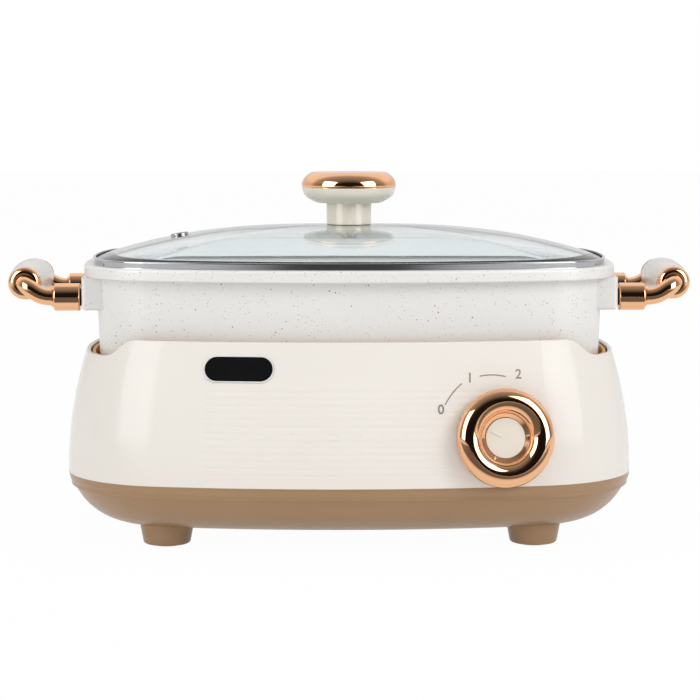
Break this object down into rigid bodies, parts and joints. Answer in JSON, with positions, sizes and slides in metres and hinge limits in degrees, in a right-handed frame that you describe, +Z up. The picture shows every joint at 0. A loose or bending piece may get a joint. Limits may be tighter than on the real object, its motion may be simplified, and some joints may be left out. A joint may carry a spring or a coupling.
{
  "type": "electric hot pot with lid",
  "caption": "Electric hot pot: bowed rectangular heating base with a turn dial, a lift-out pan with tube-and-grip handles and a loose domed glass lid with a round knob.",
  "frame": {"origin": "on the supporting surface, under the middle of the overall outline", "axes": "+Z up, -Y towards the front with the dial, +X to the right seen from the front, along the row of the two handles"},
  "size_m": [0.4464, 0.2564, 0.2364],
  "materials": {
    "brown_plastic": "satin moulded plastic",
    "pad_rubber": "moulded rubber",
    "cream_plastic": "glossy moulded plastic",
    "liner_plastic": "heat-resistant moulded plastic",
    "heat_sheet": "pressed sheet",
    "steel": "plain stainless",
    "fuse_ceramic": "unglazed",
    "black_plastic": "glossy black",
    "board_green": "laminate",
    "bezel_white": "glossy white",
    "pin_brass": "turned brass",
    "wire_cover": "silicone sleeve",
    "rose_chrome": "warm copper-toned chrome plate",
    "pan_coat": "white coating with fine brown speckles",
    "grip_translucent": "frosted translucent",
    "clear_glass": "tempered clear"
  },
  "bodies": {
    "base": {"base_shell": "brown_plastic", "foot_front_left": "brown_plastic", "foot_front_right": "brown_plastic", "foot_back_left": "brown_plastic", "foot_back_right": "brown_plastic", "foot_pads": "pad_rubber", "base_screws": "steel", "housing": "cream_plastic", "well_liner": "liner_plastic", "heat_tray": "heat_sheet", "tray_screws": "steel", "heating_element": "steel", "element_terminals": "steel", "element_clips": "steel", "thermal_fuse": "fuse_ceramic", "sensor_sleeve": "steel", "sensor_spring": "steel", "thermostat": "black_plastic", "thermostat_bracket": "steel", "bracket_screws": "steel", "window_bezel": "bezel_white", "window_lens": "black_plastic", "lamp_board": "board_green", "inlet_socket": "black_plastic", "inlet_pins": "pin_brass", "inlet_plate": "steel", "inlet_screws": "steel", "lead_wires": "wire_cover"},
    "dial": {"dial_ring": "rose_chrome", "dial_skirt": "rose_chrome", "dial_face": "cream_plastic", "dial_pointer": "bezel_white", "dial_spindle": "steel"},
    "pan": {"pan": "pan_coat", "handle_gaskets": "pad_rubber", "handle_studs": "steel", "collar_front_left": "rose_chrome", "collar_front_right": "rose_chrome", "collar_back_left": "rose_chrome", "collar_back_right": "rose_chrome", "elbow_front_left": "rose_chrome", "elbow_front_right": "rose_chrome", "elbow_back_left": "rose_chrome", "elbow_back_right": "rose_chrome", "grip_left": "grip_translucent", "grip_right": "grip_translucent", "tie_rod_left": "steel", "tie_rod_right": "steel"},
    "lid": {"lid_rim": "steel", "lid_glass": "clear_glass", "steam_vent": "steel", "knob_seal": "pad_rubber", "knob_body": "cream_plastic", "knob_cap": "rose_chrome", "knob_washer": "steel", "knob_screw": "steel"},
    "sensor": {"sensor_cap": "heat_sheet"}
  },
  "joints": [
    {"name": "dial_turn", "type": "hinge", "parent": "base", "child": "dial", "pos_m": [0.094, -0.11032, 0.0751], "axis": [0.1555, -0.9802, 0.1227], "range_deg": [-80, 0]},
    {"name": "pan_lift", "type": "slide", "parent": "base", "child": "pan", "axis": [0, 0, 1], "range_m": [0, 0.15]},
    {"name": "lid_lift", "type": "slide", "parent": "pan", "child": "lid", "axis": [0, 0, 1], "range_m": [0, 0.12]},
    {"name": "sensor_press", "type": "slide", "parent": "base", "child": "sensor", "axis": [0, 0, 1], "range_m": [-0.002, 0], "stiffness_N_per_m": 400, "springref_m": 0.001, "deforming": ["sensor_spring"]}
  ]
}
